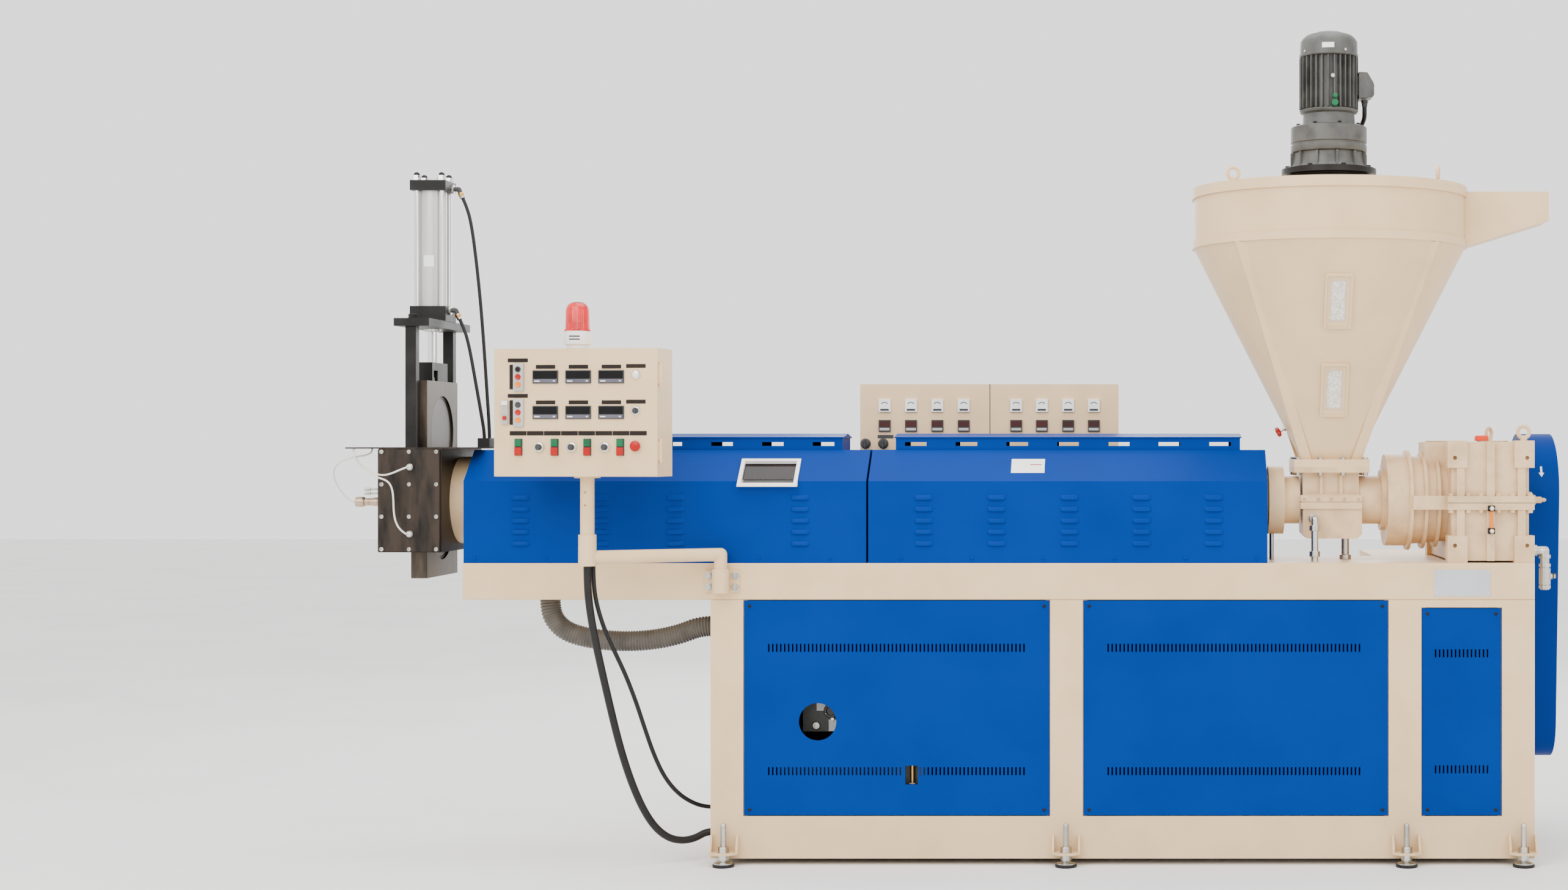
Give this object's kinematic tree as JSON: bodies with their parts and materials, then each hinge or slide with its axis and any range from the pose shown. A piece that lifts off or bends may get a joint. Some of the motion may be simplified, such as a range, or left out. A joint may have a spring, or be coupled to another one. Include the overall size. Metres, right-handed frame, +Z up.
{
  "type": "plastic extruder",
  "caption": "Single-screw plastic extruder on a levelled base: covered barrel, hydraulic slide-plate screen changer, geared drive with belt guard, stirred hopper and swing-out control panel.",
  "frame": {"origin": "middle of the machine's footprint, without its free cables, on the floor", "axes": "+X along the barrel from the screen changer to the drive, +Y from the operator's side to the back, +Z up"},
  "size_m": [4.7841, 1.6091, 3.22],
  "materials": {
    "cream_paint": "satin enamel",
    "blue_paint": "gloss enamel",
    "dark_steel": "oiled, unpainted",
    "machined_steel": "brushed",
    "chromed_rod": "polished",
    "cylinder_grey": "satin",
    "motor_grey": "satin enamel",
    "black_rubber": "matt",
    "duct_grey": "corrugated",
    "white_lead": "glass braid",
    "instrument_black": "moulded",
    "beacon_red": "translucent"
  },
  "bodies": {
    "root": {"table_beam": "cream_paint", "bay_table": "cream_paint", "base_posts": "cream_paint", "bottom_rails": "cream_paint", "cross_rails": "cream_paint", "front_panels": "blue_paint", "rear_panels": "blue_paint", "end_panels": "blue_paint", "foot_brackets": "cream_paint", "levelling_feet": "machined_steel", "hydraulic_unit": "motor_grey", "barrel": "machined_steel", "barrel_cover_left": "blue_paint", "barrel_cover_right": "blue_paint", "vent_caps": "blue_paint", "cover_window": "cream_paint", "hose_guide": "black_rubber", "changer_block": "dark_steel", "changer_front_plate": "dark_steel", "changer_top_plate": "dark_steel", "melt_sensors": "machined_steel", "guide_columns": "dark_steel", "cylinder_mount_plate": "dark_steel", "cylinder_tube": "cylinder_grey", "cylinder_caps": "dark_steel", "tie_rods": "chromed_rod", "hose_fittings": "black_rubber", "feed_throat": "cream_paint", "water_pipes": "machined_steel", "hopper_cone": "cream_paint", "hopper_band": "cream_paint", "hopper_chute": "cream_paint", "hopper_lid": "cream_paint", "hopper_fittings": "cream_paint", "lid_gearmotor": "motor_grey", "thrust_housing": "cream_paint", "gearbox_case": "cream_paint", "gearbox_fittings": "machined_steel", "drain_valve": "machined_steel", "belt_guard": "blue_paint", "arm_bracket": "cream_paint", "rear_cabinet": "cream_paint", "control_cable": "black_rubber", "signal_cable": "black_rubber", "cable_duct": "duct_grey", "hose_upper": "black_rubber", "hose_lower": "black_rubber", "heater_lead_upper": "white_lead", "heater_lead_lower": "white_lead", "sensor_lead": "white_lead", "motor_cable": "black_rubber"},
    "screen_slide": {"slide_plate": "dark_steel", "rod_coupling": "dark_steel", "piston_rod": "chromed_rod"},
    "panel_arm": {"panel_arm": "cream_paint"},
    "panel_box": {"panel_box": "cream_paint", "beacon": "beacon_red"},
    "panel_door": {"panel_door": "cream_paint", "panel_instruments": "instrument_black"},
    "drain_lever": {"drain_lever": "black_rubber"}
  },
  "joints": [
    {"name": "screen_shift", "type": "slide", "parent": "root", "child": "screen_slide", "axis": [0, 0, 1], "range_m": [-0.25, 0.09]},
    {"name": "arm_swivel", "type": "hinge", "parent": "root", "child": "panel_arm", "pos_m": [-0.8995, -0.44791, 1.124], "axis": [0, 0, 1], "range_deg": [-6, 70]},
    {"name": "panel_swivel", "type": "hinge", "parent": "panel_arm", "child": "panel_box", "pos_m": [-1.35144, -0.67324, 1.269], "axis": [0, 0, 1], "range_deg": [-20, 20]},
    {"name": "panel_door_hinge", "type": "hinge", "parent": "panel_box", "child": "panel_door", "pos_m": [-1.05962, -0.77631, 1.719], "axis": [0, 0, 1], "range_deg": [0, 110]},
    {"name": "drain_lever_turn", "type": "hinge", "parent": "root", "child": "drain_lever", "pos_m": [2.2735, -0.35291, 1.097], "axis": [1, 0, 0], "range_deg": [-90, 0]}
  ]
}
